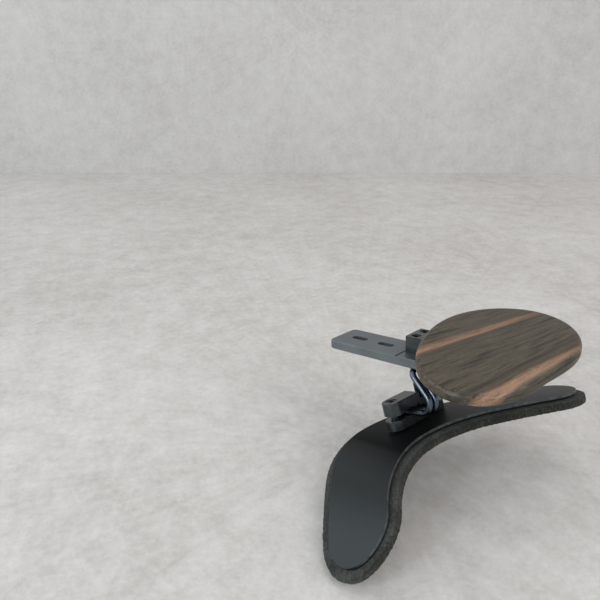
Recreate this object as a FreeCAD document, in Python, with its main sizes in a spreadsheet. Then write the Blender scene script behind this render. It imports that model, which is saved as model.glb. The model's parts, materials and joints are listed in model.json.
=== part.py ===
import FreeCAD, Part
import math
import os
import Sketcher

# Chin-and-shoulder rest unit for a frameless violin, millimetres.
# Row frame: the origin is the centre of the bracket's screw slots, on the face that
# touches the violin's underside. +Z is up, +Y runs towards the scroll, +X towards the
# treble side; the player is on the -Y side.

V = FreeCAD.Vector
doc = FreeCAD.newDocument("ShoulderRest")
sheet = doc.addObject("Spreadsheet::Sheet", "Dimensions")

DIMENSIONS = {
    # tail bracket: a flat bar screwed under the violin
    "bar_width": 22.0,
    "bar_thick": 4.5,
    "bar_front": 20.0,
    "bar_back": 42.0,
    "bar_corner": 3.0,
    "slot_radius": 2.1,
    "slot_length": 9.0,
    "slot_spacing": 16.0,
    "bar_edge": 0.5,
    "relief_place": 21.2,
    "relief_width": 0.8,
    "relief_depth": 0.4,
    # bent rods
    "rod_radius": 1.5,
    "rod_gap": 0.05,
    "rod_drop": 6.1,
    "rod_top_bend": 4.0,
    "rod_low_bend": 5.4,
    "rod_pitch": 3.4,
    # saddle that holds the rods under the bar
    "saddle_length": 9.0,
    "saddle_width": 19.0,
    "saddle_height": 5.0,
    "small_screw_radius": 1.25,
    "small_head_radius": 2.2,
    "small_head_height": 2.0,
    # chin block and its tilt hinge
    "block_width": 14.0,
    "block_height": 8.4,
    "block_front": 22.0,
    "hinge_back": 37.0,
    "hinge_height": 4.8,
    "knuckle_radius": 3.6,
    "tongue_width": 5.8,
    "fork_gap": 6.0,
    "pivot_radius": 1.5,
    "pivot_clear": 0.05,
    # clamp that joins the rods to the back plate
    "jaw_half_width": 4.7,
    "jaw_pitch": 28.2,
    "jaw_step": 14.6,
    "jaw_edge": 0.3,
    "lower_bottom": 0.85,
    "lower_top": 5.5,
    "upper_bottom": 8.0,
    "upper_top": 14.4,
    "upper_ledge": 11.1,
    "lip_gap": 0.15,
    "lip_start": 3.0,
    "lip_place": 2.6,
    "rod_axis_height": 6.65,
    "rod_first": 7.3,
    "swivel_place": 9.0,
    "knob_place": 21.7,
    "knob_radius": 3.5,
    "knob_height": 5.6,
    "washer_thick": 0.5,
    # arched back plate, liner and foam
    "plate_half_width": 13.5,
    "plate_thick": 1.3,
    "layer_gap": 0.02,
    "liner_inset": 0.8,
    "liner_thick": 1.1,
    "foam_overhang": 4.2,
    "foam_thick": 3.8,
    "foam_near_trim": 2.8,
    "foam_far_trim": 0.6,
    "bend_x": -4.9,
    "bend_y": 21.9,
    "near_arm": 60.0,
    "far_arm": 90.5,
    "near_angle": 43.5,
    "far_angle": 32.0,
    "inner_round": 62.0,
    "outer_round": 54.0,
    "near_arch": 93.0,
    "far_arch": 400.0,
    "arch_skew": 12.0,
    # chin plate
    "chin_mean_radius": 34.0,
    "chin_oval": 4.5,
    "chin_corner": 1.6,
    "chin_thick": 5.5,
    "chin_top_round": 2.6,
    "chin_bottom_round": 1.5,
    "boss_radius": 9.0,
    "boss_thick": 2.5,
    "felt_thick": 0.8,
    "arm_thick": 3.2,
    "arm_end_radius": 6.5,
}
for line, (alias, number) in enumerate(DIMENSIONS.items(), start=1):
    sheet.set("A%d" % line, alias)
    sheet.set("B%d" % line, str(number))
    sheet.setAlias("B%d" % line, alias)
doc.recompute()


def dim(alias):
    return float(sheet.get(alias))


# Local frames. PAD sits on the arch's crown, on the plate's top face, with local +Y
# towards the plate's convex side. CLAMP sits under the clamp's end screw. CHIN sits on
# the chin plate's top face.
PAD = FreeCAD.Placement(V(-21.2, -31.4, -33.0), FreeCAD.Rotation(-13.34, -7.29, -14.29))
CLAMP = PAD.multiply(FreeCAD.Placement(V(1.9, 5.3, 0.0), FreeCAD.Rotation(5.5, 3.44, 0.0)))
CHIN = FreeCAD.Placement(V(-3.2, -65.9, 12.9), FreeCAD.Rotation(-11.8, -11.0, 7.6))
ROW = FreeCAD.Placement()
UP = V(0, 0, 1)
DOWN = V(0, 0, -1)
subparts = []


def keep(obj, label, placement=ROW):
    obj.Label = label
    obj.Placement = placement
    subparts.append(obj)
    return obj


def cylinder(name, radius, height, base, along=UP):
    obj = doc.addObject("Part::Cylinder", name)
    obj.setExpression("Radius", radius)
    obj.setExpression("Height", height)
    obj.Placement = FreeCAD.Placement(base, FreeCAD.Rotation(UP, along))
    return obj


def block(name, length, width, height, corner):
    obj = doc.addObject("Part::Box", name)
    obj.setExpression("Length", length)
    obj.setExpression("Width", width)
    obj.setExpression("Height", height)
    obj.Placement = FreeCAD.Placement(corner, FreeCAD.Rotation())
    return obj


def cone(name, radius_low, radius_high, height, base, along=UP):
    obj = doc.addObject("Part::Cone", name)
    obj.setExpression("Radius1", radius_low)
    obj.setExpression("Radius2", radius_high)
    obj.setExpression("Height", height)
    obj.Placement = FreeCAD.Placement(base, FreeCAD.Rotation(UP, along))
    return obj


def hexagon(name, across_radius, height, base, along=UP):
    obj = doc.addObject("Part::Prism", name)
    obj.Polygon = 6
    obj.setExpression("Circumradius", across_radius)
    obj.setExpression("Height", height)
    obj.Placement = FreeCAD.Placement(base, FreeCAD.Rotation(UP, along))
    return obj


def fuse(name, pieces):
    obj = doc.addObject("Part::MultiFuse", name)
    obj.Shapes = pieces
    return obj


def cut(name, base, tools):
    tool = tools[0] if len(tools) == 1 else fuse(name + "_tools", tools)
    obj = doc.addObject("Part::Cut", name)
    obj.Base = base
    obj.Tool = tool
    return obj


def group(name, pieces):
    obj = doc.addObject("Part::Compound", name)
    obj.Links = pieces
    return obj


def chamfered(name, source, size, choose):
    doc.recompute()
    obj = doc.addObject("Part::Chamfer", name)
    obj.Base = source
    edges = []
    for number, edge in enumerate(source.Shape.Edges, start=1):
        if choose(edge):
            edges.append((number, size, size))
    obj.Edges = edges
    return obj


def origin_plane(body, role):
    for feature in body.Origin.OriginFeatures:
        if feature.Role == role:
            return feature
    raise RuntimeError("no plane " + role)


def sketch_on(body, role, name, offset=0.0):
    sketch = body.newObject("Sketcher::SketchObject", name)
    sketch.AttachmentSupport = (origin_plane(body, role), [""])
    sketch.MapMode = "FlatFace"
    sketch.AttachmentOffset = FreeCAD.Placement(V(0, 0, offset), FreeCAD.Rotation())
    return sketch


def add_circle(sketch, x, y, radius):
    index = sketch.addGeometry(Part.Circle(V(x, y, 0), UP, 1.0), False)
    number = sketch.addConstraint(Sketcher.Constraint("Radius", index, 1.0))
    sketch.addConstraint(Sketcher.Constraint("DistanceX", -1, 1, index, 3, x))
    sketch.addConstraint(Sketcher.Constraint("DistanceY", -1, 1, index, 3, y))
    sketch.setExpression("Constraints[%d]" % number, radius)
    return index


def add_slot(sketch, first, second, radius):
    # two half circles of one radius joined by two straight sides
    along = second - first
    along.normalize()
    side = V(-along.y, along.x, 0) * radius
    corners = [first + side, first - side, second - side, second + side]
    lines = [
        Part.Arc(corners[0], first - along * radius, corners[1]),
        Part.LineSegment(corners[1], corners[2]),
        Part.Arc(corners[2], second + along * radius, corners[3]),
        Part.LineSegment(corners[3], corners[0]),
    ]
    for item in lines:
        sketch.addGeometry(item, False)


def add_rounded_box(sketch, x_low, y_low, x_high, y_high, radius):
    r = radius
    k = r * (1.0 - math.sqrt(0.5))
    points = [
        (V(x_low + r, y_low, 0), V(x_high - r, y_low, 0)),
        (V(x_high, y_low + r, 0), V(x_high, y_high - r, 0)),
        (V(x_high - r, y_high, 0), V(x_low + r, y_high, 0)),
        (V(x_low, y_high - r, 0), V(x_low, y_low + r, 0)),
    ]
    middles = [
        V(x_high - k, y_low + k, 0),
        V(x_high - k, y_high - k, 0),
        V(x_low + k, y_high - k, 0),
        V(x_low + k, y_low + k, 0),
    ]
    for number in range(4):
        start, end = points[number]
        following = points[(number + 1) % 4][0]
        sketch.addGeometry(Part.LineSegment(start, end), False)
        sketch.addGeometry(Part.Arc(end, middles[number], following), False)


def pad(body, sketch, name, length):
    feature = body.newObject("PartDesign::Pad", name)
    feature.Profile = sketch
    feature.setExpression("Length", length)
    doc.recompute()
    return feature


def pocket(body, sketch, name, length, turned=False):
    before = body.Shape.Volume
    feature = body.newObject("PartDesign::Pocket", name)
    feature.Profile = sketch
    feature.setExpression("Length", length)
    feature.Reversed = turned
    doc.recompute()
    if body.Shape.Volume > before - 0.01:
        raise RuntimeError(name + " removes nothing")
    return feature


# ---------------------------------------------------------------- tail bracket
bar = doc.addObject("PartDesign::Body", "tail_bracket_body")
half_bar = dim("bar_width") / 2
plan = sketch_on(bar, "XY_Plane", "bar_plan", -dim("bar_thick"))
add_rounded_box(plan, -half_bar, -dim("bar_back"), half_bar, dim("bar_front"), dim("bar_corner"))
slot_half = dim("slot_length") / 2 - dim("slot_radius")
for side in (-1, 1):
    middle = side * dim("slot_spacing") / 2
    add_slot(plan, V(0, middle - slot_half, 0), V(0, middle + slot_half, 0), dim("slot_radius"))
bar_pad = pad(bar, plan, "bar_pad", "Dimensions.bar_thick")
rim_edges = []
for number, edge in enumerate(bar_pad.Shape.Edges, start=1):
    extent = edge.BoundBox
    outside = max(abs(extent.XMin), abs(extent.XMax)) > half_bar - 0.01
    outside = outside or extent.YMin < -dim("bar_back") + 0.01 or extent.YMax > dim("bar_front") - 0.01
    if extent.ZLength < 0.01 and outside:
        rim_edges.append("Edge%d" % number)
bar_edges = bar.newObject("PartDesign::Chamfer", "bar_edges")
bar_edges.Base = (bar_pad, rim_edges)
bar_edges.setExpression("Size", "Dimensions.bar_edge")
doc.recompute()
# a shallow groove across the bar parts the violin's seat from the chin block's seat
plan = sketch_on(bar, "XY_Plane", "bar_relief")
relief_low = -dim("relief_place")
add_rounded_box(plan, -half_bar - 1, relief_low, half_bar + 1, relief_low + dim("relief_width"), 0.1)
pocket(bar, plan, "bar_relief_cut", "Dimensions.relief_depth")
SADDLE_X = 3.5
SADDLE_SCREWS = (-24.4, -37.6)
BLOCK_SCREWS = (-0.9, 6.9)
BLOCK_SCREW_Y = -26.0
plan = sketch_on(bar, "XY_Plane", "bar_taps_below", -dim("bar_thick"))
for y in SADDLE_SCREWS:
    add_circle(plan, SADDLE_X, y, "Dimensions.small_screw_radius")
pocket(bar, plan, "bar_taps_low", "Dimensions.bar_thick - 1", True)
plan = sketch_on(bar, "XY_Plane", "bar_taps_above")
for x in BLOCK_SCREWS:
    add_circle(plan, x, BLOCK_SCREW_Y, "Dimensions.small_screw_radius")
pocket(bar, plan, "bar_taps_high", "Dimensions.bar_thick - 1")
keep(bar, "tail_bracket")

# ------------------------------------------------------------------ bent rods
# Each rod runs along X under the bar, turns down and back, then doubles forward
# through the clamp.
ROD_LINES_Y = (-29.3, -32.7)
ROD_CORNERS_X = (-11.3, -9.0)
ROD_START_X = 8.0
ROD_CORNER_Y = -21.5
ROD_END_Y = 2.6


def clamp_point(x, y, z):
    return CLAMP.multVec(V(x, y, z))


def rounded_path(points, radii):
    edges = []
    start = points[0]
    for number, radius in enumerate(radii, start=1):
        corner = points[number]
        back = points[number - 1] - corner
        ahead = points[number + 1] - corner
        back.normalize()
        ahead.normalize()
        half = back.getAngle(ahead) / 2
        reach = radius / math.tan(half)
        middle = back + ahead
        middle.normalize()
        centre = corner + middle * (radius / math.sin(half))
        entry = corner + back * reach
        leave = corner + ahead * reach
        edges.append(Part.LineSegment(start, entry).toShape())
        edges.append(Part.Arc(entry, centre - middle * radius, leave).toShape())
        start = leave
    edges.append(Part.LineSegment(start, points[-1]).toShape())
    return Part.Wire(edges)


rod_names = ("rod_near", "rod_far")
for number, label in enumerate(rod_names):
    lane = dim("rod_first") + number * dim("rod_pitch")
    level = -dim("rod_drop")
    route = [
        V(ROD_START_X, ROD_LINES_Y[number], level),
        V(ROD_CORNERS_X[number], ROD_LINES_Y[number], level),
        clamp_point(lane, ROD_CORNER_Y, dim("rod_axis_height")),
        clamp_point(lane, ROD_END_Y, dim("rod_axis_height")),
    ]
    path = doc.addObject("Part::Feature", label + "_path")
    path.Shape = rounded_path(route, (dim("rod_top_bend"), dim("rod_low_bend")))
    ring = doc.addObject("Part::Circle", label + "_ring")
    ring.setExpression("Radius", "Dimensions.rod_radius")
    ring.Placement = FreeCAD.Placement(route[0], FreeCAD.Rotation(UP, V(-1, 0, 0)))
    doc.recompute()
    rod = doc.addObject("Part::Sweep", label + "_sweep")
    rod.Sections = [ring]
    rod.Spine = (path, ["Edge%d" % (k + 1) for k in range(len(path.Shape.Edges))])
    rod.Solid = True
    rod.Frenet = False
    doc.recompute()
    expected = math.pi * dim("rod_radius") ** 2 * path.Shape.Length
    if abs(rod.Shape.Volume / expected - 1) > 0.02:
        raise RuntimeError("rod volume")
    keep(rod, label)

# ----------------------------------------------------------------- rod saddle
saddle_low = -dim("bar_thick") - dim("saddle_height")
saddle_corner = V(SADDLE_X - dim("saddle_length") / 2, -40.5, saddle_low)
saddle = block("saddle_block", "Dimensions.saddle_length", "Dimensions.saddle_width",
               "Dimensions.saddle_height", saddle_corner)
saddle = chamfered("saddle_edges", saddle, 0.6,
                   lambda edge: edge.BoundBox.ZMin < saddle_low + 0.01)
tools = []
for number, y in enumerate(ROD_LINES_Y):
    level = -dim("rod_drop")
    tools.append(cylinder("saddle_bore%d" % number, "Dimensions.rod_radius + Dimensions.rod_gap",
                          "Dimensions.saddle_length + 4", V(saddle_corner.x - 2, y, level), V(1, 0, 0)))
    tools.append(block("saddle_mouth%d" % number, "Dimensions.saddle_length + 4",
                       "2 * (Dimensions.rod_radius + Dimensions.rod_gap)", "3",
                       V(saddle_corner.x - 2, y - dim("rod_radius") - dim("rod_gap"), level)))
screws = []
for number, y in enumerate(SADDLE_SCREWS):
    centre = V(SADDLE_X, y, saddle_low)
    tools.append(cylinder("saddle_clear%d" % number, "Dimensions.small_screw_radius + 0.05",
                          "Dimensions.saddle_height + 1", centre))
    tools.append(cylinder("saddle_sink%d" % number, "Dimensions.small_head_radius + 0.1",
                          "Dimensions.small_head_height", centre))
    head = cylinder("saddle_head%d" % number, "Dimensions.small_head_radius",
                    "Dimensions.small_head_height", centre)
    shank = cylinder("saddle_shank%d" % number, "Dimensions.small_screw_radius",
                     "Dimensions.saddle_height + Dimensions.bar_thick - 1.2", centre)
    socket = hexagon("saddle_key%d" % number, "1.2", "1.2", centre)
    solid = fuse("saddle_screw_solid%d" % number, [head, shank])
    screws.append(cut("saddle_screw%d" % number, solid, [socket]))
keep(cut("saddle_cut", saddle, tools), "rod_saddle")
keep(group("saddle_screw_set", screws), "saddle_screws")

# ------------------------------------------------------- chin block and hinge
block_left = 3.0 - dim("block_width") / 2
hinge = V(3.0, -dim("hinge_back"), dim("hinge_height"))
body_part = block("chin_base", "Dimensions.block_width",
                  "Dimensions.hinge_back - Dimensions.block_front", "Dimensions.block_height",
                  V(block_left, hinge.y, 0))
ears = cylinder("chin_ears", "Dimensions.knuckle_radius", "Dimensions.block_width",
                V(block_left, hinge.y, hinge.z), V(1, 0, 0))
foot = block("chin_foot", "Dimensions.block_width", "Dimensions.knuckle_radius - 0.6",
             "Dimensions.hinge_height", V(block_left, hinge.y - dim("knuckle_radius") + 0.6, 0))
solid = fuse("chin_block_solid", [body_part, ears, foot])
tools = [
    block("chin_fork", "Dimensions.fork_gap", "Dimensions.knuckle_radius * 2 + 3", "20",
          V(3.0 - dim("fork_gap") / 2, hinge.y - dim("knuckle_radius") - 1, -1)),
    cylinder("chin_fork_end", "Dimensions.knuckle_radius + 1", "Dimensions.fork_gap",
             V(3.0 - dim("fork_gap") / 2, hinge.y, hinge.z), V(1, 0, 0)),
    cylinder("chin_pin_bore", "Dimensions.pivot_radius + Dimensions.pivot_clear",
             "Dimensions.block_width + 2", V(block_left - 1, hinge.y, hinge.z), V(1, 0, 0)),
]
screws = []
for number, x in enumerate(BLOCK_SCREWS):
    top = V(x, BLOCK_SCREW_Y, dim("block_height"))
    tools.append(cylinder("block_clear%d" % number, "Dimensions.small_screw_radius + 0.05",
                          "Dimensions.block_height + 1", top, DOWN))
    tools.append(cylinder("block_sink%d" % number, "Dimensions.small_head_radius + 0.1",
                          "Dimensions.small_head_height + 0.4", top, DOWN))
    seat = top - V(0, 0, 0.4)
    head = cylinder("block_head%d" % number, "Dimensions.small_head_radius",
                    "Dimensions.small_head_height", seat, DOWN)
    shank = cylinder("block_shank%d" % number, "Dimensions.small_screw_radius",
                     "Dimensions.block_height + 2.8", seat, DOWN)
    socket = hexagon("block_key%d" % number, "1.2", "1.2", seat, DOWN)
    solid_screw = fuse("block_screw_solid%d" % number, [head, shank])
    screws.append(cut("block_screw%d" % number, solid_screw, [socket]))
chin_block = cut("chin_block_cut", solid, tools)
keep(chin_block, "chin_block")
keep(group("block_screw_set", screws), "block_screws")

# hinge bolt, washers and nut
right = 3.0 + dim("block_width") / 2
bolt_head = cylinder("tilt_head", "2.6", "2", V(block_left - 2.5, hinge.y, hinge.z), V(1, 0, 0))
bolt_shank = cylinder("tilt_shank", "Dimensions.pivot_radius", "Dimensions.block_width + 5.4",
                      V(block_left - 1, hinge.y, hinge.z), V(1, 0, 0))
bolt_key = hexagon("tilt_key", "1.45", "1.3", V(block_left - 2.5, hinge.y, hinge.z), V(1, 0, 0))
keep(cut("tilt_bolt_cut", fuse("tilt_bolt_solid", [bolt_head, bolt_shank]), [bolt_key]), "tilt_bolt")
washers = []
for number, x in enumerate((block_left - 0.5, right)):
    disc = cylinder("tilt_disc%d" % number, "2.9", "0.5", V(x, hinge.y, hinge.z), V(1, 0, 0))
    hole = cylinder("tilt_hole%d" % number, "Dimensions.pivot_radius + 0.05", "2",
                    V(x - 0.5, hinge.y, hinge.z), V(1, 0, 0))
    washers.append(cut("tilt_washer%d" % number, disc, [hole]))
keep(group("tilt_washer_set", washers), "tilt_washers")
nut = hexagon("tilt_nut_body", "3.1", "2.4", V(right + 0.5, hinge.y, hinge.z), V(1, 0, 0))
hole = cylinder("tilt_nut_hole", "Dimensions.pivot_radius + 0.02", "5",
                V(right, hinge.y, hinge.z), V(1, 0, 0))
keep(cut("tilt_nut_cut", nut, [hole]), "tilt_nut")

# ---------------------------------------------------------------- clamp, lower jaw
half_jaw = dim("jaw_half_width")
knob_x = dim("knob_place")
LEFT = V(0, 0, 0)
RIGHT = V(dim("jaw_pitch"), 0, 0)


def groove_tools(body, name, level):
    # round grooves along Y for the two rods
    plan = sketch_on(body, "XZ_Plane", name, 20.0)
    for number in range(2):
        lane = dim("rod_first") + number * dim("rod_pitch")
        add_circle(plan, lane, level, "Dimensions.rod_radius + Dimensions.rod_gap")
    pocket(body, plan, name + "_cut", "40")


def round_end(edge, level):
    # a jaw's outer edge at one level, on its straight sides or round ends
    extent = edge.BoundBox
    flat = extent.ZLength < 0.01 and abs(extent.ZMax - level) < 0.01
    return flat and max(abs(extent.YMin), abs(extent.YMax)) > half_jaw - 0.01


lower = doc.addObject("PartDesign::Body", "clamp_lower_body")
plan = sketch_on(lower, "XY_Plane", "lower_plan", dim("lower_bottom"))
add_slot(plan, LEFT, RIGHT, half_jaw)
add_circle(plan, knob_x, 0.0, "Dimensions.pivot_radius + Dimensions.pivot_clear")
add_circle(plan, 0.0, 0.0, "Dimensions.pivot_radius")
pad(lower, plan, "lower_pad", "Dimensions.lower_top - Dimensions.lower_bottom")
groove_tools(lower, "lower_grooves", dim("rod_axis_height"))
plan = sketch_on(lower, "XY_Plane", "lower_pivot", dim("lower_bottom"))
add_circle(plan, dim("swivel_place"), 0.0, "Dimensions.pivot_radius + Dimensions.pivot_clear")
pocket(lower, plan, "lower_pivot_cut", "3", True)
lower_level = dim("lower_top")
lower_edges = chamfered("lower_edges", lower, dim("jaw_edge"),
                        lambda edge: round_end(edge, lower_level))
keep(lower_edges, "clamp_lower", CLAMP)

# ---------------------------------------------------------------- clamp, upper jaw
upper = doc.addObject("PartDesign::Body", "clamp_upper_body")
plan = sketch_on(upper, "XY_Plane", "upper_plan", dim("upper_bottom"))
add_slot(plan, LEFT, RIGHT, half_jaw)
add_circle(plan, knob_x, 0.0, "Dimensions.pivot_radius + 0.15")
add_circle(plan, 0.0, 0.0, "Dimensions.pivot_radius + 0.1")
pad(upper, plan, "upper_pad", "Dimensions.upper_top - Dimensions.upper_bottom")
# a lip along the back closes the gap between the jaws
plan = sketch_on(upper, "XY_Plane", "upper_lip", dim("lower_top") + dim("lip_gap"))
add_rounded_box(plan, dim("lip_start"), dim("lip_place"), dim("jaw_pitch"), half_jaw - 0.4, 0.3)
pad(upper, plan, "upper_lip_pad", "Dimensions.upper_bottom - Dimensions.lower_top + 0.5")
plan = sketch_on(upper, "XY_Plane", "upper_step", dim("upper_top"))
add_rounded_box(plan, dim("jaw_step"), -10.0, 40.0, 10.0, 0.5)
pocket(upper, plan, "upper_step_cut", "Dimensions.upper_top - Dimensions.upper_ledge")
plan = sketch_on(upper, "XY_Plane", "upper_sink", dim("upper_top"))
add_circle(plan, 0.0, 0.0, "2.85")
pocket(upper, plan, "upper_sink_cut", "3")
groove_tools(upper, "upper_grooves", dim("rod_axis_height"))
plan = sketch_on(upper, "XZ_Plane", "upper_relief", half_jaw - 1.6)
first_lane = dim("rod_first")
add_rounded_box(plan, first_lane - 3.4, dim("upper_bottom") - 2.0,
                first_lane + dim("rod_pitch") + 3.4, dim("upper_bottom") + 1.3, 1.2)
pocket(upper, plan, "upper_relief_cut", "4", True)
upper_level = dim("upper_top")
upper_edges = chamfered("upper_edges", upper, dim("jaw_edge"),
                        lambda edge: round_end(edge, upper_level))
keep(upper_edges, "clamp_upper", CLAMP)

# end screw with its spacer, thumb screw washer
spacer = cylinder("spacer_body", "1.9", "Dimensions.upper_bottom - Dimensions.lower_top",
                  V(0, 0, dim("lower_top")))
hole = cylinder("spacer_hole", "Dimensions.pivot_radius + 0.05", "8", V(0, 0, dim("lower_top") - 2))
keep(cut("spacer_cut", spacer, [hole]), "jaw_spacer", CLAMP)
seat_level = dim("upper_top") - 3.0
head = cylinder("end_head", "2.7", "2.7", V(0, 0, seat_level))
shank = cylinder("end_shank", "Dimensions.pivot_radius", "Dimensions.upper_top - 3 - 1.6",
                 V(0, 0, 1.6))
key = hexagon("end_key", "1.45", "2", V(0, 0, seat_level + 1.2))
keep(cut("end_screw_cut", fuse("end_screw_solid", [head, shank]), [key]), "end_screw", CLAMP)
disc = cylinder("knob_disc", "3.9", "Dimensions.washer_thick", V(knob_x, 0, dim("upper_ledge")))
hole = cylinder("knob_disc_hole", "Dimensions.pivot_radius + 0.1", "3",
                V(knob_x, 0, dim("upper_ledge") - 1))
keep(cut("knob_washer_cut", disc, [hole]), "knob_washer", CLAMP)

# ------------------------------------------------------------------ thumb screw
# A knurled head turned with its shank in one profile, then 24 grooves round the rim.
knob = doc.addObject("PartDesign::Body", "thumb_knob_body")
profile = sketch_on(knob, "XZ_Plane", "knob_profile")
base_z = dim("upper_ledge") + dim("washer_thick") + 0.03
top_z = base_z + dim("knob_height")
rim = dim("knob_radius")
shank_r = dim("pivot_radius")
outline = [
    V(0, 1.7, 0), V(shank_r - 0.3, 1.7, 0), V(shank_r, 2.0, 0), V(shank_r, base_z, 0),
    V(rim - 0.9, base_z, 0), V(rim - 0.9, base_z + 0.7, 0), V(rim, base_z + 1.0, 0),
    V(rim, top_z - 0.5, 0), V(rim - 0.5, top_z, 0), V(0, top_z + 0.25, 0),
]
for number in range(len(outline)):
    following = outline[(number + 1) % len(outline)]
    profile.addGeometry(Part.LineSegment(outline[number], following), False)
turned = knob.newObject("PartDesign::Revolution", "knob_turned")
turned.Profile = profile
turned.ReferenceAxis = (profile, ["V_Axis"])
turned.Angle = 360.0
doc.recompute()
notch = sketch_on(knob, "XY_Plane", "knob_notch", top_z + 1.0)
add_circle(notch, rim + 0.12, 0.0, "0.34")
first = pocket(knob, notch, "knob_notch_cut", "Dimensions.knob_height + 0.6")
ring = knob.newObject("PartDesign::PolarPattern", "knob_knurl")
ring.Originals = [first]
ring.Axis = (notch, ["N_Axis"])
ring.Angle = 360.0
ring.Occurrences = 24
knob.Tip = ring
doc.recompute()
keep(knob, "thumb_knob", CLAMP.multiply(FreeCAD.Placement(V(knob_x, 0, 0), FreeCAD.Rotation())))


# ------------------------------------------------- arched plate, liner and foam
def planform(half_width, inner_round, outer_round, near_trim=0.0, far_trim=0.0):
    # rounded boomerang: two arms of one width, round tips, a fillet on each side
    vertex = V(dim("bend_x"), dim("bend_y"), 0)
    near = math.radians(dim("near_angle"))
    far = math.radians(dim("far_angle"))
    near_way = V(-math.cos(near), -math.sin(near), 0)
    far_way = V(math.cos(far), -math.sin(far), 0)
    near_side = V(near_way.y, -near_way.x, 0)
    far_side = V(-far_way.y, far_way.x, 0)
    half_turn = (near + far) / 2
    middle = near_side + far_side
    middle.normalize()
    near_tip = vertex + near_way * (dim("near_arm") - near_trim)
    far_tip = vertex + far_way * (dim("far_arm") - far_trim)

    def fillet(side, radius):
        corner = vertex + middle * (side * half_width / math.cos(half_turn))
        reach = radius * math.tan(half_turn)
        crown = corner - middle * (radius / math.cos(half_turn)) + middle * radius
        return corner + near_way * reach, crown, corner + far_way * reach

    outer_near, outer_mid, outer_far = fillet(1, outer_round)
    inner_near, inner_mid, inner_far = fillet(-1, inner_round)
    w = half_width
    pieces = [
        Part.LineSegment(near_tip + near_side * w, outer_near),
        Part.Arc(outer_near, outer_mid, outer_far),
        Part.LineSegment(outer_far, far_tip + far_side * w),
        Part.Arc(far_tip + far_side * w, far_tip + far_way * w, far_tip - far_side * w),
        Part.LineSegment(far_tip - far_side * w, inner_far),
        Part.Arc(inner_far, inner_mid, inner_near),
        Part.LineSegment(inner_near, near_tip - near_side * w),
        Part.Arc(near_tip - near_side * w, near_tip + near_way * w, near_tip + near_side * w),
    ]
    return Part.Wire([piece.toShape() for piece in pieces])


CROWN_X = -0.9


def arch_surface(depth):
    # two cylinders of different radius that share one tangent line at the crown
    skew = math.radians(dim("arch_skew"))
    across = V(math.cos(skew), math.sin(skew), 0)
    along = V(-math.sin(skew), math.cos(skew), 0)

    def spot(radius, degrees):
        angle = math.radians(degrees)
        reach = across * (CROWN_X + (radius - depth) * math.sin(angle))
        return reach + V(0, 0, (radius - depth) * math.cos(angle) - radius)

    near_curve = Part.Arc(spot(dim("near_arch"), -60), spot(dim("near_arch"), -30),
                          spot(dim("near_arch"), 0)).toShape()
    far_curve = Part.Arc(spot(dim("far_arch"), 0), spot(dim("far_arch"), 9),
                         spot(dim("far_arch"), 18)).toShape()
    curve = Part.Wire([near_curve, far_curve])
    curve.translate(along * -100)
    return curve.extrude(along * 200)


def arched_layer(depth, thick, grow, near_trim=0.0, far_trim=0.0):
    # a layer of one thickness whose edges stand square to the arch
    wire = planform(dim("plate_half_width") + grow, dim("inner_round") - grow,
                    dim("outer_round") + grow, near_trim, far_trim)
    prism = Part.Face(wire).extrude(V(0, 0, 140))
    prism.translate(V(0, 0, -100))
    trimmed = arch_surface(depth).common(prism)
    shell = Part.Shell(trimmed.Faces)
    wanted = sum(face.Area for face in trimmed.Faces) * thick
    layer = shell.makeOffsetShape(thick, 0.001, fill=True)
    if layer.BoundBox.ZMax > -depth + 0.01:
        layer = shell.makeOffsetShape(-thick, 0.001, fill=True)
    if layer.BoundBox.ZMax > -depth + 0.01:
        raise RuntimeError("layer above its surface")
    if abs(layer.Volume / wanted - 1) > 0.08:
        raise RuntimeError("layer volume")
    return layer


swivel_base = CLAMP.multVec(V(dim("swivel_place"), 0, 0))
swivel_tip = CLAMP.multVec(V(dim("swivel_place"), 0, 1))
to_pad = PAD.inverse()
swivel_foot = to_pad.multVec(swivel_base)
swivel_way = to_pad.multVec(swivel_tip) - swivel_foot

plate_sheet = doc.addObject("Part::Feature", "plate_sheet")
plate_sheet.Shape = arched_layer(0.0, dim("plate_thick"), 0.0)
plate_hole = cylinder("plate_hole", "Dimensions.pivot_radius + 0.1", "12",
                      swivel_foot - swivel_way * 6, swivel_way)
keep(cut("plate_cut", plate_sheet, [plate_hole]), "back_plate", PAD)

liner_depth = dim("plate_thick") + dim("layer_gap")
liner_sheet = doc.addObject("Part::Feature", "liner_sheet")
liner_sheet.Shape = arched_layer(liner_depth, dim("liner_thick"), -dim("liner_inset"))
liner_hole = cylinder("liner_hole", "3.4", "12", swivel_foot - swivel_way * 6, swivel_way)
keep(cut("liner_cut", liner_sheet, [liner_hole]), "foam_liner", PAD)

foam_depth = liner_depth + dim("liner_thick") + dim("layer_gap")
foam = doc.addObject("Part::Feature", "foam_block")
foam.Shape = arched_layer(foam_depth, dim("foam_thick"), dim("foam_overhang"),
                          dim("foam_near_trim"), dim("foam_far_trim"))
keep(foam, "foam_pad", PAD)

# pivot screw through the plate into the lower jaw, with a washer between them
head_top = -dim("plate_thick") + 0.1
head = cylinder("pivot_head", "3", "0.7", V(dim("swivel_place"), 0, head_top - 0.7))
shank = cylinder("pivot_shank", "Dimensions.pivot_radius", "5.1",
                 V(dim("swivel_place"), 0, head_top - 0.4))
keep(fuse("pivot_screw_solid", [head, shank]), "pivot_screw", CLAMP)
disc = cylinder("pivot_disc", "3.4", "0.34", V(dim("swivel_place"), 0, 0.48))
hole = cylinder("pivot_disc_hole", "Dimensions.pivot_radius + 0.05", "3",
                V(dim("swivel_place"), 0, -0.5))
keep(cut("pivot_washer_cut", disc, [hole]), "pivot_washer", CLAMP)


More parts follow.
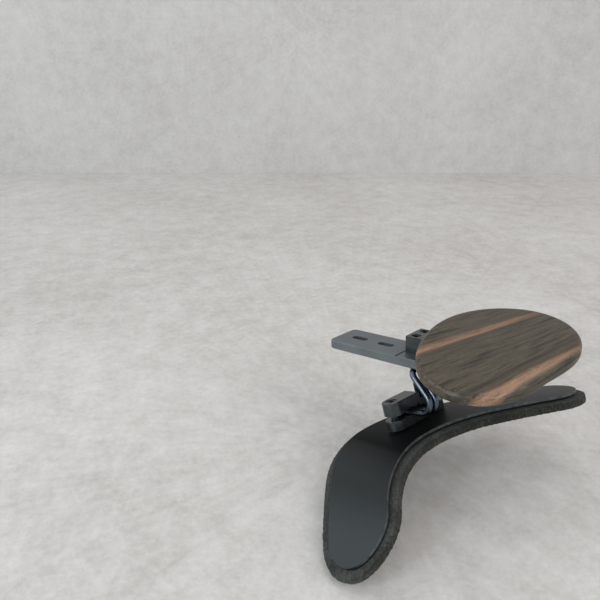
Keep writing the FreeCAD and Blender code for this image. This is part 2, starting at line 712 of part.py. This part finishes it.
# ------------------------------------------------------------------ chin plate
def chin_radius(angle):
    # rounded three-cornered oval in polar form about the plate's centre
    value = dim("chin_mean_radius")
    value += dim("chin_oval") * math.cos(2 * angle + math.radians(6))
    value += dim("chin_corner") * math.cos(3 * angle + math.radians(114))
    return value


rim_points = []
for step in range(36):
    angle = math.radians(10 * step)
    reach = chin_radius(angle)
    rim_points.append(V(reach * math.cos(angle), reach * math.sin(angle), -dim("chin_thick")))
curve = Part.BSplineCurve()
curve.interpolate(Points=rim_points, PeriodicFlag=True)
rim_wire = doc.addObject("Part::Feature", "chin_rim")
rim_wire.Shape = Part.Wire([curve.toShape()])
slab = doc.addObject("Part::Extrusion", "chin_slab")
slab.Base = rim_wire
slab.DirMode = "Custom"
slab.Dir = UP
slab.setExpression("LengthFwd", "Dimensions.chin_thick")
slab.Solid = True
doc.recompute()
rounded = doc.addObject("Part::Fillet", "chin_rounded")
rounded.Base = slab
edges = []
for number, edge in enumerate(slab.Shape.Edges, start=1):
    flat = edge.BoundBox.ZLength < 0.01
    if flat and edge.BoundBox.ZMax > -0.01:
        edges.append((number, dim("chin_top_round"), dim("chin_top_round")))
    elif flat:
        edges.append((number, dim("chin_bottom_round"), dim("chin_bottom_round")))
rounded.Edges = edges
doc.recompute()

AXLE = V(2.5, 2.0, 0)
under = -dim("chin_thick")
tools = []
screws = []
boss_tools = [cylinder("boss_bore", "Dimensions.pivot_radius", "8", AXLE + V(0, 0, under - 5))]
for number in range(3):
    angle = math.radians(90 + 120 * number)
    place = AXLE + V(6.2 * math.cos(angle), 6.2 * math.sin(angle), under - dim("boss_thick"))
    tools.append(cylinder("wood_pilot%d" % number, "0.9", "Dimensions.boss_thick + 3", place))
    boss_tools.append(cone("boss_sink%d" % number, "1.9", "0.95", "1", place))
    boss_tools.append(cylinder("boss_clear%d" % number, "0.95", "5", place))
    head = cone("boss_head%d" % number, "1.85", "0.9", "1", place)
    shank = cylinder("boss_shank%d" % number, "0.9", "Dimensions.boss_thick + 2.9", place)
    slot_tool = block("boss_slot%d" % number, "4", "0.4", "0.5", place - V(2, 0.2, 0))
    solid = fuse("boss_screw_solid%d" % number, [head, shank])
    screws.append(cut("boss_screw%d" % number, solid, [slot_tool]))
tools.append(cylinder("wood_recess", "2.2", "1.6", AXLE + V(0, 0, under)))
keep(cut("chin_plate_cut", rounded, tools), "chin_plate", CHIN)
boss = cylinder("boss_body", "Dimensions.boss_radius", "Dimensions.boss_thick",
                AXLE + V(0, 0, under - dim("boss_thick")))
keep(cut("boss_cut", boss, boss_tools), "chin_boss", CHIN)
keep(group("boss_screw_set", screws), "boss_screws", CHIN)

# friction washer, arm and swivel bolt under the boss
felt_top = under - dim("boss_thick") - 0.02
felt = cylinder("felt_body", "Dimensions.arm_end_radius - 2.4", "Dimensions.felt_thick",
                AXLE + V(0, 0, felt_top - dim("felt_thick")))
hole = cylinder("felt_hole", "Dimensions.pivot_radius + 0.1", "4", AXLE + V(0, 0, felt_top - 2.5))
keep(cut("felt_cut", felt, [hole]), "swivel_washer", CHIN)
arm_top = felt_top - dim("felt_thick") - 0.03
arm_low = arm_top - dim("arm_thick")
bolt_head = cylinder("swivel_head", "2.8", "2", AXLE + V(0, 0, arm_low - 0.05), DOWN)
bolt_shank = cylinder("swivel_shank", "Dimensions.pivot_radius", "Dimensions.arm_thick + 4.2",
                      AXLE + V(0, 0, arm_low - 0.6))
bolt_key = hexagon("swivel_key", "1.45", "1.2", AXLE + V(0, 0, arm_low - 2.05))
keep(cut("swivel_bolt_cut", fuse("swivel_bolt_solid", [bolt_head, bolt_shank]), [bolt_key]),
     "swivel_bolt", CHIN)

# The arm: a knuckle on the tilt bolt, a tapering web, a round end under the boss.
from_chin = CHIN.multVec(AXLE + V(0, 0, (arm_top + arm_low) / 2))
arm_normal = CHIN.multVec(V(0, 0, 1)) - CHIN.multVec(V(0, 0, 0))
end_low = CHIN.multVec(AXLE + V(0, 0, arm_low))
knuckle = cylinder("arm_knuckle", "Dimensions.knuckle_radius - 0.2", "Dimensions.tongue_width",
                   V(3.0 - dim("tongue_width") / 2, hinge.y, hinge.z), V(1, 0, 0))
end_disc = cylinder("arm_end", "Dimensions.arm_end_radius", "Dimensions.arm_thick", end_low, arm_normal)


def section(centre, across, normal, width, thick):
    side = across * (width / 2)
    rise = normal * (thick / 2)
    corners = [centre - side - rise, centre + side - rise, centre + side + rise, centre - side + rise]
    return Part.makePolygon(corners + [corners[0]])


reach = from_chin - hinge
way = V(reach.x, reach.y, reach.z)
way.normalize()
across_end = way.cross(arm_normal)
across_end.normalize()
near_section = section(hinge, V(1, 0, 0), UP, 4.4, 4.2)
far_section = section(from_chin - way * 4, across_end, arm_normal, 7.0, dim("arm_thick") - 0.1)
web = doc.addObject("Part::Feature", "arm_web")
web.Shape = Part.makeLoft([near_section, far_section], True, True)
arm_solid = fuse("arm_solid", [knuckle, web, end_disc])
tools = [
    cylinder("arm_pin_bore", "Dimensions.pivot_radius + Dimensions.pivot_clear", "12",
             V(-3.0, hinge.y, hinge.z), V(1, 0, 0)),
    cylinder("arm_end_bore", "Dimensions.pivot_radius + Dimensions.pivot_clear", "12",
             end_low - arm_normal * 4, arm_normal),
]
keep(cut("arm_cut", arm_solid, tools), "chin_arm")

# ------------------------------------------------------------- check and write
doc.recompute()
for obj in doc.Objects:
    if "Invalid" in obj.State or "Error" in obj.State:
        raise RuntimeError("failed object " + obj.Name)
for obj in subparts:
    shape = obj.Shape
    if shape.isNull() or not shape.isValid() or not shape.Solids:
        raise RuntimeError("bad shape " + obj.Label)
os.makedirs("parts", exist_ok=True)
for obj in subparts:
    obj.Shape.exportStep("parts/" + obj.Label + ".step")
    size = obj.Shape.BoundBox
    print("%-14s solids %d volume %9.2f x %7.2f %7.2f y %7.2f %7.2f z %7.2f %7.2f" % (
        obj.Label, len(obj.Shape.Solids), obj.Shape.Volume,
        size.XMin, size.XMax, size.YMin, size.YMax, size.ZMin, size.ZMax))
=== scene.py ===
"""Looks of the chin-and-shoulder rest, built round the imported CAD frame. Metres."""
import json
import math

import bmesh
import bpy
from mathutils import Matrix, Vector, noise


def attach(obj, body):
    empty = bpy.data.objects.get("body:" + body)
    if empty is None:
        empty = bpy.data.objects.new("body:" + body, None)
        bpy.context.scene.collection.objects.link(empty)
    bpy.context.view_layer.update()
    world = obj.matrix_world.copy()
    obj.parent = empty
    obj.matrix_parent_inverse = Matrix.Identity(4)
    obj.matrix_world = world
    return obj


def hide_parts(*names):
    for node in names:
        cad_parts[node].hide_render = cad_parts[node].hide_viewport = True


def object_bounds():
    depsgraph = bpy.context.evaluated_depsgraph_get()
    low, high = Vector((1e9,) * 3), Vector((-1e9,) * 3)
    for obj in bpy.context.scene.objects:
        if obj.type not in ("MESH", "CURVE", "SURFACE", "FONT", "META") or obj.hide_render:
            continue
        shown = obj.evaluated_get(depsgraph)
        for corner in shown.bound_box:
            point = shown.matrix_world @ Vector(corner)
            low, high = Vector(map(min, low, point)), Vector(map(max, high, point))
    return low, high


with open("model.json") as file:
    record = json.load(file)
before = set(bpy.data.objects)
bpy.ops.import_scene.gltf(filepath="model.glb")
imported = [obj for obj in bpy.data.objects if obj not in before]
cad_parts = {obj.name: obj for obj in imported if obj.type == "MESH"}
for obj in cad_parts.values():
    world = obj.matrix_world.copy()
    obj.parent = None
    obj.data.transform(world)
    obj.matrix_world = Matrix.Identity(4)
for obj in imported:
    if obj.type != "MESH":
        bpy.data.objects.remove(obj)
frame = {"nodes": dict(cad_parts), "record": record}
cad_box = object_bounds()
MM = 0.001
IN_MM = (1000.0, 1000.0, 1000.0)  # scales a material's coordinates from metres to millimetres


def turned(yaw, pitch, roll):
    """Rotation by yaw about Z, then pitch about Y, then roll about X, in degrees."""
    y, p, r = (math.radians(a) for a in (yaw, pitch, roll))
    return Matrix.Rotation(y, 4, "Z") @ Matrix.Rotation(p, 4, "Y") @ Matrix.Rotation(r, 4, "X")


# The local frames of the pad, the clamp and the chin plate, as the CAD model sets them.
PAD = Matrix.Translation(Vector((-21.2, -31.4, -33.0)) * MM) @ turned(-13.34, -7.29, -14.29)
CLAMP = PAD @ Matrix.Translation(Vector((1.9, 5.3, 0.0)) * MM) @ turned(5.5, 3.44, 0.0)
CHIN = Matrix.Translation(Vector((-3.2, -65.9, 12.9)) * MM) @ turned(-11.8, -11.0, 7.6)


# ------------------------------------------------------------------ camera
def look_frame(forward, up):
    """Rotation of a camera that looks along forward, with up as near to upright as it can be."""
    f = Vector(forward).normalized()
    u = Vector(up)
    u = (u - f * u.dot(f)).normalized()
    r = f.cross(u)
    return Matrix((
        (r.x, u.x, -f.x, 0.0),
        (r.y, u.y, -f.y, 0.0),
        (r.z, u.z, -f.z, 0.0),
        (0.0, 0.0, 0.0, 1.0)))


# Fitted to the violin in the photograph. The focal length is one image width.
CAMERA_AT = Vector((-0.23913, -0.16847, 0.10305))
CAMERA_WAY = Vector((0.713, 0.64922, -0.26486))
CAMERA_UP = Vector((0.22133, 0.15004, 0.96359))
SENSOR_WIDTH = 36.0
lens = bpy.data.cameras.new("camera")
lens.lens = SENSOR_WIDTH
lens.sensor_width = SENSOR_WIDTH
lens.clip_start = 0.01
camera = bpy.data.objects.new("camera", lens)
camera.matrix_world = Matrix.Translation(CAMERA_AT) @ look_frame(CAMERA_WAY, CAMERA_UP)
bpy.context.scene.collection.objects.link(camera)
bpy.context.scene.camera = camera


# --------------------------------------------------------------- node helper
# Sockets of a colour Mix node, which has no unique names for them.
MIX_FACTOR, MIX_FIRST, MIX_SECOND, MIX_RESULT = 0, 6, 7, 2


class Nodes:
    """A material and short ways to add and join its nodes."""

    def __init__(self, name):
        self.material = bpy.data.materials.new(name)
        self.material.use_nodes = True
        self.tree = self.material.node_tree
        self.tree.nodes.clear()
        self.out = self.tree.nodes.new("ShaderNodeOutputMaterial")
        self.shader = self.tree.nodes.new("ShaderNodeBsdfPrincipled")
        self.link(self.shader.outputs["BSDF"], self.out.inputs["Surface"])
        self.place = self.tree.nodes.new("ShaderNodeTexCoord").outputs["Object"]

    def link(self, source, target):
        self.tree.links.new(source, target)

    def set(self, **values):
        """Shader inputs by name, with underscores for spaces."""
        for key, value in values.items():
            self.shader.inputs[key.replace("_", " ")].default_value = value

    def moved(self, matrix, scale=(1.0, 1.0, 1.0)):
        """Object coordinates seen from a local frame, then scaled along its axes."""
        inverse = matrix.inverted()
        node = self.tree.nodes.new("ShaderNodeMapping")
        node.vector_type = "POINT"
        node.inputs["Rotation"].default_value = inverse.to_euler("XYZ")
        node.inputs["Location"].default_value = inverse.translation
        self.link(self.place, node.inputs["Vector"])
        stretch = self.tree.nodes.new("ShaderNodeMapping")
        stretch.vector_type = "POINT"
        stretch.inputs["Scale"].default_value = scale
        self.link(node.outputs["Vector"], stretch.inputs["Vector"])
        return stretch.outputs["Vector"]

    def noise(self, vector, scale, detail=3.0, rough=0.5, distortion=0.0):
        node = self.tree.nodes.new("ShaderNodeTexNoise")
        node.inputs["Scale"].default_value = scale
        node.inputs["Detail"].default_value = detail
        node.inputs["Roughness"].default_value = rough
        node.inputs["Distortion"].default_value = distortion
        self.link(vector, node.inputs["Vector"])
        return node.outputs["Fac"]

    def cells(self, vector, scale, feature="F1"):
        node = self.tree.nodes.new("ShaderNodeTexVoronoi")
        node.feature = feature
        node.inputs["Scale"].default_value = scale
        self.link(vector, node.inputs["Vector"])
        return node.outputs["Distance"]

    def math(self, kind, first, second=None, third=None):
        node = self.tree.nodes.new("ShaderNodeMath")
        node.operation = kind
        for slot, value in enumerate((first, second, third)):
            if value is None:
                continue
            if isinstance(value, (int, float)):
                node.inputs[slot].default_value = value
            else:
                self.link(value, node.inputs[slot])
        return node.outputs[0]

    def ramp(self, factor, stops):
        node = self.tree.nodes.new("ShaderNodeValToRGB")
        bar = node.color_ramp
        while len(bar.elements) < len(stops):
            bar.elements.new(0.5)
        for element, (where, colour) in zip(bar.elements, stops):
            element.position = where
            element.color = (*colour, 1.0)
        self.link(factor, node.inputs["Fac"])
        return node.outputs["Color"]

    def span(self, factor, low, high, to_low, to_high):
        node = self.tree.nodes.new("ShaderNodeMapRange")
        limits = {"From Min": low, "From Max": high, "To Min": to_low, "To Max": to_high}
        for key, value in limits.items():
            node.inputs[key].default_value = value
        self.link(factor, node.inputs["Value"])
        return node.outputs["Result"]

    def mix(self, factor, first, second, blend="MIX"):
        node = self.tree.nodes.new("ShaderNodeMix")
        node.data_type = "RGBA"
        node.blend_type = blend
        for slot, value in ((MIX_FACTOR, factor), (MIX_FIRST, first), (MIX_SECOND, second)):
            if isinstance(value, (int, float)):
                node.inputs[slot].default_value = value
            elif isinstance(value, tuple):
                node.inputs[slot].default_value = (*value, 1.0)
            else:
                self.link(value, node.inputs[slot])
        return node.outputs[MIX_RESULT]

    def split(self, vector):
        node = self.tree.nodes.new("ShaderNodeSeparateXYZ")
        self.link(vector, node.inputs[0])
        return node.outputs

    def join(self, x, y, z):
        node = self.tree.nodes.new("ShaderNodeCombineXYZ")
        for slot, value in enumerate((x, y, z)):
            if isinstance(value, (int, float)):
                node.inputs[slot].default_value = value
            else:
                self.link(value, node.inputs[slot])
        return node.outputs[0]

    def edge(self, matrix, low, high):
        """One on a sheet's edge faces, nought on faces square to the local frame's Z axis."""
        up = matrix.to_3x3() @ Vector((0.0, 0.0, 1.0))
        facing = self.tree.nodes.new("ShaderNodeVectorMath")
        facing.operation = "DOT_PRODUCT"
        facing.inputs[1].default_value = up
        normal = self.tree.nodes.new("ShaderNodeTexCoord").outputs["Normal"]
        self.link(normal, facing.inputs[0])
        return self.span(self.math("ABSOLUTE", facing.outputs["Value"]), low, high, 1.0, 0.0)

    def bump(self, height, distance, strength=1.0, chain=None):
        node = self.tree.nodes.new("ShaderNodeBump")
        node.inputs["Distance"].default_value = distance
        node.inputs["Strength"].default_value = strength
        self.link(height, node.inputs["Height"])
        if chain is not None:
            self.link(chain, node.inputs["Normal"])
        return node.outputs["Normal"]

    def colour(self, socket):
        self.link(socket, self.shader.inputs["Base Color"])

    def rough(self, socket):
        self.link(socket, self.shader.inputs["Roughness"])

    def normal(self, socket):
        self.link(socket, self.shader.inputs["Normal"])


# ----------------------------------------------------------------- materials
def powder_coat():
    """Black coat whose specular level is painted to rise from the plate's bend to its tips, a
    painted sheen; its edge faces are painted light as a painted highlight.
    """
    n = Nodes("plate_powder_coat")
    n.set(Metallic=0.0)
    along = n.split(n.moved(PAD, IN_MM))[0]
    near_tip, far_tip = -50.0, 90.0
    # Painted sheen: the specular level is set high at the tips and low at the bend to place
    # reflections there.
    levels = ((0.0, 0.52), (0.14, 0.46), (0.27, 0.03), (0.42, 0.05), (0.62, 0.12), (1.0, 0.34))
    painted_sheen = n.ramp(n.span(along, near_tip, far_tip, 0.0, 1.0),
                   [(where, (level,) * 3) for where, level in levels])
    n.link(painted_sheen, n.shader.inputs["Specular IOR Level"])
    n.shader.inputs["Specular Tint"].default_value = (0.80, 0.96, 1.0, 1.0)
    grain = n.noise(n.place, 2600.0, 3.0)
    cloud = n.noise(n.place, 26.0, 3.0)
    scuff_and_highlight = n.noise(n.place, 380.0, 4.0, 0.7)
    coat = n.ramp(cloud, ((0.3, (0.0035, 0.0042, 0.0044)), (0.7, (0.0055, 0.0064, 0.0068))))
    # Painted highlight: the plate's edge faces get a lighter grey than the coat, standing in for
    # light caught along the edge; the same noise also gives scuff bumps.
    edge_highlight = n.ramp(scuff_and_highlight, ((0.35, (0.040, 0.045, 0.045)), (0.7, (0.120, 0.128, 0.126))))
    n.colour(n.mix(n.edge(PAD, 0.45, 0.62), coat, edge_highlight))
    n.rough(n.span(n.math("ADD", grain, cloud), 0.7, 1.3, 0.37, 0.47))
    n.normal(n.bump(n.math("ADD", grain, scuff_and_highlight), 0.00005, 0.5))
    return n.material


def black_anodised():
    n = Nodes("black_anodised")
    n.set(Metallic=0.75, Specular_IOR_Level=0.5)
    blast = n.noise(n.place, 3400.0, 2.0)
    wear = n.noise(n.place, 120.0, 4.0, 0.6)
    n.colour(n.ramp(wear, ((0.35, (0.044, 0.051, 0.052)), (0.75, (0.082, 0.094, 0.096)))))
    n.rough(n.span(wear, 0.3, 0.7, 0.20, 0.30))
    n.normal(n.bump(blast, 0.00002, 0.4))
    return n.material


def grey_anodised():
    n = Nodes("bracket_grey_anodised")
    n.set(Metallic=0.7)
    brushed = n.noise(n.moved(Matrix.Identity(4), (4200.0, 90.0, 4200.0)), 1.0, 3.0)
    wear = n.noise(n.place, 70.0, 4.0, 0.6)
    n.colour(n.ramp(wear, ((0.3, (0.120, 0.138, 0.148)), (0.7, (0.165, 0.188, 0.200)))))
    n.rough(n.span(n.math("ADD", brushed, wear), 0.7, 1.3, 0.34, 0.48))
    n.normal(n.bump(brushed, 0.00002, 0.35))
    return n.material


def blued_rod():
    """Drawn steel, its fine lines along the clamp's Y axis, as the lower runs lie."""
    n = Nodes("rod_blued_steel")
    n.set(Metallic=1.0)
    tint = n.noise(n.place, 60.0, 3.0)
    drawn = n.noise(n.moved(CLAMP, (3800.0, 160.0, 3800.0)), 1.0, 2.0)
    n.colour(n.ramp(tint, ((0.3, (0.088, 0.112, 0.144)), (0.7, (0.130, 0.156, 0.190)))))
    n.rough(n.span(drawn, 0.3, 0.7, 0.24, 0.34))
    n.normal(n.bump(drawn, 0.00001, 0.2))
    return n.material


def screw_steel(name, low, high, rough_low, rough_high):
    n = Nodes(name)
    n.set(Metallic=1.0)
    wear = n.noise(n.place, 420.0, 4.0, 0.6)
    n.colour(n.ramp(wear, ((0.3, low), (0.75, high))))
    n.rough(n.span(wear, 0.3, 0.7, rough_low, rough_high))
    n.normal(n.bump(n.noise(n.place, 2400.0, 2.0), 0.00002, 0.4))
    return n.material


def liner_and_gap_shade():
    # Hook-and-loop liner between plate and foam; its near-black colour is partly its own and
    # partly painted shade for the dark gap between plate and foam.
    n = Nodes("liner_hook_and_loop_gap_shade")
    n.set(Metallic=0.0, Roughness=0.95, Specular_IOR_Level=0.2)
    loops = n.cells(n.place, 1900.0)
    n.colour(n.ramp(loops, ((0.0, (0.004, 0.004, 0.004)), (0.8, (0.012, 0.012, 0.012)))))
    n.normal(n.bump(loops, 0.0003, 0.8))
    return n.material


def foam():
    """Open-cell foam, its sides painted darker than the faces square to the pad's Z axis, as
    painted shade.
    """
    n = Nodes("foam_open_cell")
    n.set(Metallic=0.0, Specular_IOR_Level=0.18, Sheen_Weight=0.10, Sheen_Roughness=0.6)
    pores = n.cells(n.place, 1700.0)
    fine = n.noise(n.place, 2300.0, 4.0, 0.65)
    cut = n.noise(n.place, 420.0, 4.0, 0.6)
    mottled = n.noise(n.place, 90.0, 3.0)
    torn = n.noise(n.place, 900.0, 4.0, 0.75)
    mixed = n.math("ADD", n.math("MULTIPLY", torn, 0.65), n.math("MULTIPLY", mottled, 0.35))
    body = n.ramp(mixed, ((0.38, (0.007, 0.008, 0.005)), (0.50, (0.0225, 0.0242, 0.0172)),
                          (0.62, (0.062, 0.0655, 0.052))))
    lit_face_colour = n.ramp(mixed, ((0.38, (0.012, 0.014, 0.0125)), (0.50, (0.033, 0.0365, 0.0330)),
                          (0.62, (0.078, 0.0830, 0.077))))
    # Painted shade: the sides take the darker ramp, the top and underside the lighter one.
    n.colour(n.mix(n.edge(PAD, 0.35, 0.75), lit_face_colour, body))
    n.rough(n.span(fine, 0.3, 0.7, 0.80, 0.98))
    coarse = n.bump(cut, 0.0011, 0.8)
    n.normal(n.bump(n.math("ADD", pores, fine), 0.0006, 0.9, coarse))
    return n.material


def felt():
    n = Nodes("felt_washer")
    n.set(Metallic=0.0, Roughness=0.95, Sheen_Weight=0.3)
    fibre = n.noise(n.place, 3000.0, 4.0)
    n.colour(n.ramp(fibre, ((0.3, (0.010, 0.010, 0.010)), (0.7, (0.030, 0.030, 0.030)))))
    n.normal(n.bump(fibre, 0.0002, 0.7))
    return n.material


def ebony():
    """Striped ebony: a grain coordinate that fans slightly across the plate, with fine
    lines, broad dark bands, two warm sapwood streaks and two dark ones."""
    n = Nodes("chin_striped_ebony")
    n.set(Metallic=0.0, Specular_IOR_Level=0.32, Coat_Weight=0.24, Coat_Roughness=0.22)
    x, y, z = n.split(n.moved(CHIN, IN_MM))
    wander = n.noise(n.moved(CHIN, (26.0, 60.0, 26.0)), 1.0, 3.0, 0.5)
    lean = n.math("MULTIPLY_ADD", x, 0.245, y)
    fan = n.math("MULTIPLY_ADD", x, -0.0053, 1.0)
    grain = n.math("DIVIDE", lean, fan)
    grain = n.math("MULTIPLY_ADD", z, 0.45, grain)
    grain = n.math("MULTIPLY_ADD", wander, 3.0, n.math("ADD", grain, -1.5))

    def figure(lengthwise, across, detail, rough=0.5):
        """Noise stretched along the grain: low lengthwise, higher across."""
        where = n.join(n.math("MULTIPLY", x, lengthwise), n.math("MULTIPLY", grain, across), z)
        return n.noise(where, 1.0, detail, rough)

    bands = figure(0.035, 0.42, 4.0, 0.62)
    lines = figure(0.10, 2.4, 5.0, 0.75)
    fibre = figure(0.55, 4.5, 3.0, 0.7)
    base = n.ramp(bands, ((0.36, (0.021, 0.017, 0.011)), (0.45, (0.057, 0.046, 0.030)),
                          (0.57, (0.084, 0.069, 0.046)), (0.66, (0.030, 0.023, 0.015))))
    streaks = n.math("ADD", n.math("MULTIPLY", lines, 0.6), n.math("MULTIPLY", fibre, 0.4))
    dark = n.ramp(streaks, ((0.40, (0.34, 0.32, 0.30)), (0.50, (0.92, 0.91, 0.90)),
                            (0.60, (1.40, 1.37, 1.32))))
    colour = n.mix(0.85, base, dark, "MULTIPLY")

    def streak(centre, width, soft, along_low, along_high, tint, strength, taper=0.0):
        """The colour with one streak laid over it, full at along_high and faint at along_low."""
        away = n.math("ABSOLUTE", n.math("ADD", grain, -centre))
        away = n.math("MULTIPLY_ADD", x, taper, away)
        core = n.span(away, width, width + soft, 1.0, 0.0)
        fade = n.span(x, along_low, along_high, 0.25, 1.0)
        torn = n.math("ADD", streaks, n.math("MULTIPLY", bands, 0.5))
        ragged = n.span(torn, 0.58, 0.80, 0.10, 1.0)
        weight = n.math("MULTIPLY", n.math("MULTIPLY", core, fade),
                        n.math("MULTIPLY", ragged, strength))
        return n.mix(weight, colour, tint)

    colour = streak(12.4, 0.9, 2.3, 36.0, 12.0, (0.270, 0.150, 0.088), 1.0)
    colour = streak(-24.3, 0.9, 1.9, 44.0, -8.0, (0.335, 0.196, 0.122), 1.0, 0.02)
    colour = streak(-18.0, 0.3, 1.4, 60.0, 10.0, (0.022, 0.017, 0.012), 0.8)
    colour = streak(9.5, 0.3, 1.4, -60.0, -20.0, (0.030, 0.022, 0.016), 0.6)
    n.colour(colour)
    n.rough(n.span(lines, 0.3, 0.7, 0.40, 0.54))
    n.normal(n.bump(figure(0.35, 7.0, 2.0), 0.00008, 0.5))
    return n.material


MATERIALS = {
    "bracket_grey": grey_anodised(),
    "black_metal": black_anodised(),
    "black_screw": screw_steel("screw_black_steel", (0.030, 0.033, 0.036), (0.065, 0.07, 0.074),
                               0.24, 0.38),
    "rod_steel": blued_rod(),
    "washer_steel": screw_steel("washer_bright_steel", (0.40, 0.41, 0.42), (0.56, 0.57, 0.58),
                                0.2, 0.34),
    "plate_black": powder_coat(),
    "liner_black": liner_and_gap_shade(),
    "foam_olive": foam(),
    "ebony": ebony(),
    "felt_dark": felt(),
}
slot_of = {row["node"]: row["material_slot"] for row in frame["record"]["subparts"]}
for name, node in frame["nodes"].items():
    node.data.materials.clear()
    node.data.materials.append(MATERIALS[slot_of[name]])


# ------------------------------------------------------------------ foam pad
VOXEL_QUICK, VOXEL_FULL = 0.8 * MM, 0.5 * MM
SAWN_IN = 0.10  # how far, in millimetres, the sawn sides are drawn in before they are roughened


def sawn_push(local, side, under):
    """How far, in millimetres, a foam point moves along its normal: most on the sawn sides,
    a little on the underside, not at all against the plate."""
    wave = noise.noise(local * 260.0) * 0.16 + noise.noise(local * 900.0) * 0.30
    saw = noise.noise(Vector((local.x * 700.0, local.y * 700.0, 3.0)))
    return side * (wave * 0.9 + saw * 0.36) + under * (wave * 0.45) - SAWN_IN * side


def foam_piece():
    """The foam slab, remeshed fine enough to carry a rough sawn edge."""
    source = frame["nodes"]["foam_pad"]
    mesh = source.data.copy()
    piece = bpy.data.objects.new("foam_cushion", mesh)
    bpy.context.scene.collection.objects.link(piece)
    piece.data.materials.clear()
    remesh = piece.modifiers.new("remesh", "REMESH")
    remesh.mode = "VOXEL"
    remesh.voxel_size = VOXEL_FULL
    smooth = piece.modifiers.new("smooth", "SMOOTH")
    smooth.factor = 0.4
    smooth.iterations = 2
    graph = bpy.context.evaluated_depsgraph_get()
    shaped = bpy.data.meshes.new_from_object(piece.evaluated_get(graph))
    piece.modifiers.clear()
    piece.data = shaped
    inverse = PAD.inverted()
    to_pad = inverse.to_3x3()
    shell = bmesh.new()
    shell.from_mesh(shaped)
    shell.normal_update()
    moves = []
    for vertex in shell.verts:
        local = inverse @ vertex.co
        facing = to_pad @ vertex.normal
        side = 1.0 - min(1.0, abs(facing.z) * 1.15)
        under = max(0.0, -facing.z)
        moves.append((vertex, vertex.normal * (sawn_push(local, side, under) * MM)))
    for vertex, move in moves:
        vertex.co += move
    for face in shell.faces:
        face.smooth = True
    shell.to_mesh(shaped)
    shell.free()
    shaped.materials.clear()
    shaped.materials.append(MATERIALS["foam_olive"])
    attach(piece, "pad")
    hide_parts("foam_pad")
    return piece


foam_piece()

# ----------------------------------------------------------- floor and wall
FLOOR_UP = Vector((-0.08864, -0.12773, 0.98784)).normalized()
FLOOR_GAP = 0.2 * MM
SHEET_HALF = 1.6
WALL_AWAY = 0.93
foam_node = frame["nodes"]["foam_pad"]
lowest = min(FLOOR_UP.dot(foam_node.matrix_world @ v.co) for v in foam_node.data.vertices)


def stone(name, low, middle, high):
    """Pale mottled plaster for the stage."""
    n = Nodes(name)
    n.set(Metallic=0.0, Specular_IOR_Level=0.12)
    cloud = n.noise(n.place, 6.0, 4.0, 0.6)
    blotch = n.noise(n.place, 55.0, 5.0, 0.7)
    speck = n.noise(n.place, 230.0, 5.0, 0.7)
    mixed = n.math("ADD", n.math("MULTIPLY", cloud, 0.30), n.math("MULTIPLY", blotch, 0.38))
    mixed = n.math("MULTIPLY_ADD", speck, 0.32, mixed)
    n.colour(n.ramp(mixed, ((0.38, low), (0.50, middle), (0.62, high))))
    n.rough(n.span(speck, 0.3, 0.7, 0.75, 0.95))
    n.normal(n.bump(n.math("ADD", speck, blotch), 0.0008, 0.3))
    return n.material


def stage_sheet(name, material, place):
    """A square sheet of the stage, which is in the picture but not part of the object."""
    mesh = bpy.data.meshes.new(name)
    form = bmesh.new()
    bmesh.ops.create_grid(form, x_segments=20, y_segments=20, size=SHEET_HALF)
    form.to_mesh(mesh)
    form.free()
    sheet = bpy.data.objects.new(name, mesh)
    sheet.matrix_world = place
    bpy.context.scene.collection.objects.link(sheet)
    mesh.materials.append(material)
    return sheet


floor_turn = FLOOR_UP.to_track_quat("Z", "Y").to_matrix().to_4x4()
floor_stone = stone("floor_pale_stone", (0.47, 0.452, 0.435), (0.575, 0.560, 0.543),
                    (0.66, 0.652, 0.640))
stage_sheet("floor", floor_stone,
            Matrix.Translation(FLOOR_UP * (lowest - FLOOR_GAP)) @ floor_turn)
level = (CAMERA_WAY - FLOOR_UP * FLOOR_UP.dot(CAMERA_WAY)).normalized()
wall_turn = (-level).to_track_quat("Z", "Y").to_matrix().to_4x4()
wall_stone = stone("wall_pale_stone", (0.50, 0.49, 0.485), (0.58, 0.57, 0.565),
                   (0.64, 0.635, 0.63))
wall = stage_sheet("wall", wall_stone,
                   Matrix.Translation(CAMERA_AT + level * WALL_AWAY) @ wall_turn)
wall.visible_glossy = False


# --------------------------------------------------------------------- light
CENTRE = (Vector(cad_box[0]) + Vector(cad_box[1])) / 2
# name, direction, distance, size along X, size along Y, watts, colour
LIGHTS = (
    ("key_left", (-0.55, 0.74, 0.50), 1.7, 1.4, 1.0, 6.6, (0.95, 0.985, 1.0)),
    ("rim_left", (-0.84, 0.10, 0.46), 1.2, 0.30, 0.4, 2.6, (0.84, 0.93, 1.0)),
    ("strip_left", (-0.96, 0.12, 0.10), 0.9, 0.42, 0.14, 2.0, (0.84, 0.94, 1.0)),
    ("front_soft", (-0.05, -0.85, 0.58), 1.6, 1.1, 0.9, 8.0, (1.0, 0.98, 0.955)),
    ("top_soft", (0.10, -0.20, 1.0), 1.5, 1.3, 1.3, 3.4, (1.0, 0.98, 0.95)),
)


def area_light(name, way, away, size_x, size_y, power, colour):
    """A soft box that hangs in one direction from the object and faces it."""
    data = bpy.data.lights.new(name, "AREA")
    data.shape = "RECTANGLE"
    data.size = size_x
    data.size_y = size_y
    data.energy = power
    data.color = colour
    lamp = bpy.data.objects.new(name, data)
    out = Vector(way).normalized()
    lamp.rotation_euler = out.to_track_quat("Z", "Y").to_euler()
    lamp.location = CENTRE + out * away
    bpy.context.scene.collection.objects.link(lamp)


for row in LIGHTS:
    area_light(*row)
world = bpy.data.worlds.new("studio")
bpy.context.scene.world = world
world.use_nodes = True
background = world.node_tree.nodes["Background"]
background.inputs["Color"].default_value = (0.92, 0.915, 0.91, 1.0)
background.inputs["Strength"].default_value = 0.62
bpy.context.scene.view_settings.view_transform = "Standard"
